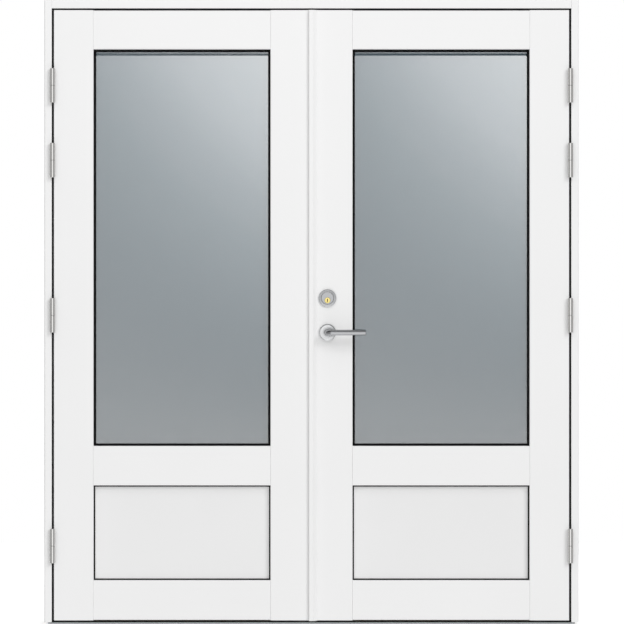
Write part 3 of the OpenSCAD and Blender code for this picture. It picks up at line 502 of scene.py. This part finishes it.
def make_roses():
    """The lever's roses: a sloped rim, a shallow dish and a chamfered hole round the neck."""
    x, z, radius = middle_of("handle_roses")
    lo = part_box("handle_roses")[0]
    leaf_lo, leaf_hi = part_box("right_lock_stile")
    lever_lo, lever_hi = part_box("outer_lever")
    hole = (lever_hi.z - lever_lo.z) / 2 / MM + NECK_GAP
    height = (leaf_lo.y - lo.y) / MM
    profile = [(0, radius), (height - 3.4, radius), (height - 0.8, radius - 2.8),
               (height, radius - 3.8), (height - 0.2, radius - 5.0), (height - 0.3, hole + 0.8),
               (height - 0.9, hole), (0, hole), (0, radius)]
    finish = brushed_round("lathe_brushed_rose", "#D2D3D4", (x, 0, z))
    for name, y, facing in (("outer_rose", leaf_lo.y, -1), ("inner_rose", leaf_hi.y, 1)):
        fit_out(turn(name, (x, y, z), facing, profile), "handle_roses", finish)


def make_cylinder_ring():
    """The ring round the lock cylinder: a sloped rim, a groove and a raised collar."""
    x, z, radius = middle_of("cylinder_ring")
    lo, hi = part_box("cylinder_ring")
    hole = middle_of("cylinder_housing")[2] + NECK_GAP
    height = (hi.y - lo.y) / MM
    profile = [(0, radius), (height - 5.8, radius), (height - 4.9, radius - 0.7),
               (height - 4.3, radius - 3.8), (height - 5.0, radius - 4.4), (height - 5.0, hole + 2.6),
               (height - 0.8, hole + 2.2), (height, hole + 1.4), (height - 0.2, hole + 0.4),
               (height - 1.2, hole), (0, hole), (0, radius)]
    finish = brushed_round("lathe_brushed_ring", "#C0C1C3", (x, 0, z))
    fit_out(turn("lock_ring", (x, hi.y, z), -1, profile), "cylinder_ring", finish)


def make_key_plug():
    """The brass key plug: a chamfered face with the key's slot and a tail to the thumb turn."""
    length = 39
    slot_wide, slot_high, slot_deep = 3, 11, 18
    tail_wide, tail_high = 2, 8
    # the slot's cutter stands this far out of the face, and the tail is sunk this far in the back
    spare, tail_sunk = 2, 1
    x, z, radius = middle_of("key_plug")
    lo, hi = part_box("key_plug")
    back = lo.y + length * MM
    plug = turn("brass_plug", (x, back, z), -1,
                [(0, radius), (length - 0.8, radius), (length, radius - 0.8),
                 (length - 0.2, radius - 1.6)])
    cut(plug, block((x, lo.y + (slot_deep - spare) / 2 * MM, z),
                    (slot_wide * MM, (slot_deep + spare) * MM, slot_high * MM)))
    tail_lo = back - tail_sunk * MM
    tail = block((x, (tail_lo + hi.y) / 2, z), (tail_wide * MM, hi.y - tail_lo, tail_high * MM))
    settle(tail, 0.3)
    finish = turned_brass("polished_brass_plug_with_painted_shade", lo.y)
    fit_out(join_all("brass_plug", [plug, tail]), "key_plug", finish)


def make_thumb_rose():
    """The rose under the room side's thumb turn, with a groove round the turn's boss."""
    x, z, radius = middle_of("thumb_rose")
    lo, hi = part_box("thumb_rose")
    height = (hi.y - lo.y) / MM
    hole = THUMB_BOSS + NECK_GAP
    profile = [(0, radius), (height - 2.4, radius), (height - 0.8, radius - 0.9),
               (height, radius - 2.4), (height - 0.6, radius - 4.0), (height - 1.0, hole + 2.6),
               (height - 0.3, hole + 1.8), (height - 0.3, hole + 0.4), (height - 0.9, hole),
               (0, hole), (0, radius)]
    finish = brushed_round("lathe_brushed_thumb_rose", "#D2D3D4", (x, 0, z))
    fit_out(turn("thumb_turn_rose", (x, lo.y, z), 1, profile), "thumb_rose", finish)


def make_thumb_turn():
    """The room side's thumb turn: a round boss under a wing with soft edges."""
    wing_wide, wing_round = 7, 2.4
    x, z = middle_of("thumb_rose")[:2]
    lo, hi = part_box("thumb_turn")
    rose_lo, rose_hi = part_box("thumb_rose")
    height = (rose_hi.y - rose_lo.y) / MM
    boss = turn("thumb_boss", (x, lo.y, z), 1,
                [(0, THUMB_BOSS), (height + 0.2, THUMB_BOSS), (height + 1.0, THUMB_BOSS - 0.8),
                 (height + 1.2, THUMB_BOSS - 1.6)])
    wing_lo = lo.y + height * MM
    wing = block((x, (wing_lo + hi.y) / 2, z), (wing_wide * MM, hi.y - wing_lo, hi.z - lo.z))
    bpy.ops.object.mode_set(mode="EDIT")
    bpy.ops.mesh.select_all(action="SELECT")
    bpy.ops.mesh.subdivide(number_cuts=3)
    bpy.ops.object.mode_set(mode="OBJECT")
    settle(wing, 0)
    apply_modifier(wing, "corners", "BEVEL", width=wing_round * MM, segments=5,
                   limit_method="ANGLE", angle_limit=SHARP)
    settle(wing, 0)
    finish = brushed_along("brushed_stainless_wing", "#A5A6A8")
    fit_out(join_all("thumb_boss", [boss, wing]), "thumb_turn", finish)


def make_screw(length, shank, head):
    """A countersunk wood screw along Y, its head's middle at the origin, with a cross recess."""
    tip_length, tip_radius = shank * 2, shank * 0.3
    recess_long, recess_wide, recess_deep = 4.6, 1.0, 1.6
    screw = turn("screw", (0, 0, 0), -1,
                 [(-length, tip_radius), (tip_length - length, shank), (shank - head, shank),
                  (0, head)],
                 bevel=0.12, sides=24)
    for wide, high in ((recess_long, recess_wide), (recess_wide, recess_long)):
        bar = block((0, 0, 0), (wide * MM, 2 * recess_deep * MM, high * MM))
        # the recess is half as wide at its bottom
        bpy.ops.object.mode_set(mode="EDIT")
        bpy.ops.mesh.select_all(action="DESELECT")
        bpy.ops.object.mode_set(mode="OBJECT")
        for face in bar.data.polygons:
            face.select = face.normal.y > 0.9
        bpy.ops.object.mode_set(mode="EDIT")
        bpy.ops.transform.resize(value=(0.5, 1, 0.5), center_override=(0, 0, 0))
        bpy.ops.object.mode_set(mode="OBJECT")
        cut(screw, bar)
    settle(screw, 0)
    return screw


def make_screws():
    """Every screw of the hinges, the lock's forend, the strike and the bolt plates."""
    shank = 2.0
    patterns = {}
    for node in ("hinge_screws", "left_screws", "right_screws"):
        screws = []
        for points in loose_parts(node):
            lo, hi = extent(points)
            size = hi - lo
            middle = (lo + hi) / 2
            axis = max(range(3), key=lambda i: size[i])
            others = [i for i in range(3) if i != axis]
            # the head is at the end with the wider ring of points
            wide = max(points, key=lambda p: sum((p[i] - middle[i]) ** 2 for i in others))
            out = Vector([0, 0, 0])
            out[axis] = 1 if wide[axis] > middle[axis] else -1
            head = middle.copy()
            head[axis] = hi[axis] if out[axis] > 0 else lo[axis]
            length = round(size[axis] / MM)
            if length not in patterns:
                patterns[length] = make_screw(length, shank, max(size[i] for i in others) / 2 / MM)
            rotation = Vector((0, -1, 0)).rotation_difference(out).to_euler()
            screws.append(twin(patterns[length], head, rotation))
        fit_out(join_all(node + "_recessed", screws), node, FINISHES["lock_steel"])
    for pattern in patterns.values():
        bpy.data.objects.remove(pattern)


def make_hinge_washers():
    """A thin bearing washer in the joint of each hinge, set back from the knuckles."""
    radius, hole, half_thick = 7.4, 4.1, 0.4
    # a pin stops this far short of its bore's upper end, so its middle is half as far below the joint
    pin_short = 0.3
    pattern = turn("washer", (0, 0, 0), 1,
                   [(-half_thick, radius), (half_thick, radius), (half_thick, hole),
                    (-half_thick, hole), (-half_thick, radius)],
                   bevel=0.08, sides=48)
    washers = []
    for points in loose_parts("hinge_pins"):
        lo, hi = extent(points)
        joint = (lo + hi) / 2 + Vector((0, 0, pin_short / 2 * MM))
        washers.append(twin(pattern, joint, (math.radians(90), 0, 0)))
    bpy.data.objects.remove(pattern)
    finish = plated_metal("oiled_bronze", "#2E2B27", roughness=(0.35, 0.5), grain_mm=1)
    fit_out(join_all("hinge_washers", washers), "hinge_pins", finish, stands_for=False)


make_roses()
make_cylinder_ring()
make_key_plug()
make_thumb_rose()
make_thumb_turn()
make_screws()
make_hinge_washers()

# ---------- studio ----------

scene = bpy.context.scene
scene.view_settings.view_transform = "Standard"


def place_camera():
    """A camera straight in front, in which the frame's height fills the picture."""
    distance = 10.8
    to_the_right = 1.7 * MM
    camera = bpy.data.objects.new("camera", bpy.data.cameras.new("camera"))
    scene.collection.objects.link(camera)
    camera.location = (to_the_right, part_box("jamb_left")[0].y - distance, (low.z + high.z) / 2)
    camera.rotation_euler = (math.radians(90), 0, 0)
    camera.data.lens = camera.data.sensor_width * distance / (high.z - low.z)
    camera.data.clip_end = 200
    scene.camera = camera


def matt_floor(name):
    """Pale and matt near the doors. Its far part only glows, as white as the room behind."""
    material, tree, shader, place = new_material(name, Roughness=0.9)
    # the matt part is an oval of these half sizes, its middle this share of its depth in front of
    # the floor's own, and it fades between these two shares of its reach
    oval_x, oval_y, forward = 1.8, 2.3, 0.24
    fade_from, fade_to = 0.7, 1.05
    near_glow = 0.27
    reach = add(tree, "ShaderNodeMapping", {"Vector": place, "Location": (0, forward, 0),
                                            "Scale": (1 / oval_x, 1 / oval_y, 0)})
    away = add(tree, "ShaderNodeVectorMath", {0: reach.outputs["Vector"]}, operation="LENGTH")
    far = add(tree, "ShaderNodeMapRange", {"Value": away.outputs["Value"],
                                           "From Min": fade_from, "From Max": fade_to})
    tone = add(tree, "ShaderNodeMix", {"Factor": far.outputs["Result"],
                                       "A": linear("#FAFAFA"), "B": grey(0)},
               data_type="RGBA")
    tree.links.new(tone.outputs[2], shader.inputs["Base Color"])
    glow = add(tree, "ShaderNodeMapRange", {"Value": far.outputs["Result"],
                                            "To Min": near_glow, "To Max": 1.0})
    shader.inputs["Emission Color"].default_value = grey(1.0)
    tree.links.new(glow.outputs["Result"], shader.inputs["Emission Strength"])
    return material


def lay_floor():
    """The studio's floor, just under the threshold."""
    size, back, below = 4, 1.75, 0.5 * MM
    bpy.ops.object.select_all(action="DESELECT")
    bpy.ops.mesh.primitive_plane_add(size=size, location=(0, back, low.z - below))
    floor = bpy.context.object
    floor.name = "studio_floor"
    floor.data.materials.append(matt_floor("matt_floor"))
    # the light from below comes from the studio around, alike all the way up the doors
    floor.visible_diffuse = False


def add_light(name, kind, energy, tilt, location=(0, 0, 0), **settings):
    """A light that neither the camera nor a mirror sees, with its tilt in degrees."""
    light = bpy.data.objects.new(name, bpy.data.lights.new(name, kind))
    light.data.energy = energy
    for key, value in settings.items():
        setattr(light.data, key, value)
    light.rotation_euler = [math.radians(angle) for angle in tilt]
    light.location = location
    light.visible_camera = False
    light.visible_glossy = False
    scene.collection.objects.link(light)


def mirrored_room(tree, up, side):
    """What the metals mirror: bright along the horizon and below it, dim overhead and at the sides."""
    height = add(tree, "ShaderNodeValToRGB", {"Fac": up})
    fill_ramp(height, [(0.00, grey(0.90)), (0.15, grey(0.90)), (0.36, grey(0.26)),
                       (1.00, grey(0.26))])
    width = add(tree, "ShaderNodeValToRGB", {"Fac": side})
    fill_ramp(width, [(0.00, grey(1.6)), (0.16, grey(1.6)), (0.34, grey(0.75)), (0.60, grey(0.50)),
                      (1.00, grey(0.50))])
    both = add(tree, "ShaderNodeMix", {"Factor": 1.0, "A": height.outputs["Color"],
                                       "B": width.outputs["Color"]},
               data_type="RGBA", blend_type="MULTIPLY")
    return add(tree, "ShaderNodeBackground", {"Color": both.outputs[2], "Strength": 1.0})


def soft_room(tree, side):
    """What lights the paint: a soft, even room, dimmer at the sides."""
    room = add(tree, "ShaderNodeValToRGB", {"Fac": side})
    fill_ramp(room, [(0.00, grey(1.0)), (0.35, grey(1.0)), (1.00, grey(0.12))])
    return add(tree, "ShaderNodeBackground", {"Color": room.outputs["Color"], "Strength": 0.98})


def light_studio():
    """A room that lights the paint, is mirrored by the metals and looks plain white to the camera."""
    world = bpy.data.worlds.new("studio")
    scene.world = world
    world.use_nodes = True
    tree = world.node_tree
    tree.nodes.clear()
    direction = add(tree, "ShaderNodeTexCoord").outputs["Generated"]
    axes = add(tree, "ShaderNodeSeparateXYZ", {"Vector": direction})
    side = add(tree, "ShaderNodeMath", {0: axes.outputs["X"]}, operation="ABSOLUTE").outputs["Value"]
    mirrored = mirrored_room(tree, axes.outputs["Z"], side)
    soft = soft_room(tree, side)
    plain = add(tree, "ShaderNodeBackground", {"Color": grey(1.0), "Strength": 1.0})
    path = add(tree, "ShaderNodeLightPath")
    indoors = add(tree, "ShaderNodeMixShader", {"Fac": path.outputs["Is Glossy Ray"],
                                                1: soft.outputs["Background"],
                                                2: mirrored.outputs["Background"]})
    mixed = add(tree, "ShaderNodeMixShader", {"Fac": path.outputs["Is Camera Ray"],
                                              1: indoors.outputs["Shader"],
                                              2: plain.outputs["Background"]})
    add(tree, "ShaderNodeOutputWorld", {"Surface": mixed.outputs["Shader"]})
    add_light("key_light", "SUN", energy=0.8, tilt=(62, 0, 40), angle=math.radians(20))
    add_light("top_light", "AREA", energy=7.5, tilt=(40, 0, 0), location=(0, -2.0, 3.2),
              shape="RECTANGLE", size=3.0, size_y=0.5)
    add_light("back_light", "AREA", energy=32, tilt=(-65, 0, 0), location=(0, 3.6, 2.6),
              shape="RECTANGLE", size=3.0, size_y=2.0)


place_camera()
lay_floor()
light_studio()
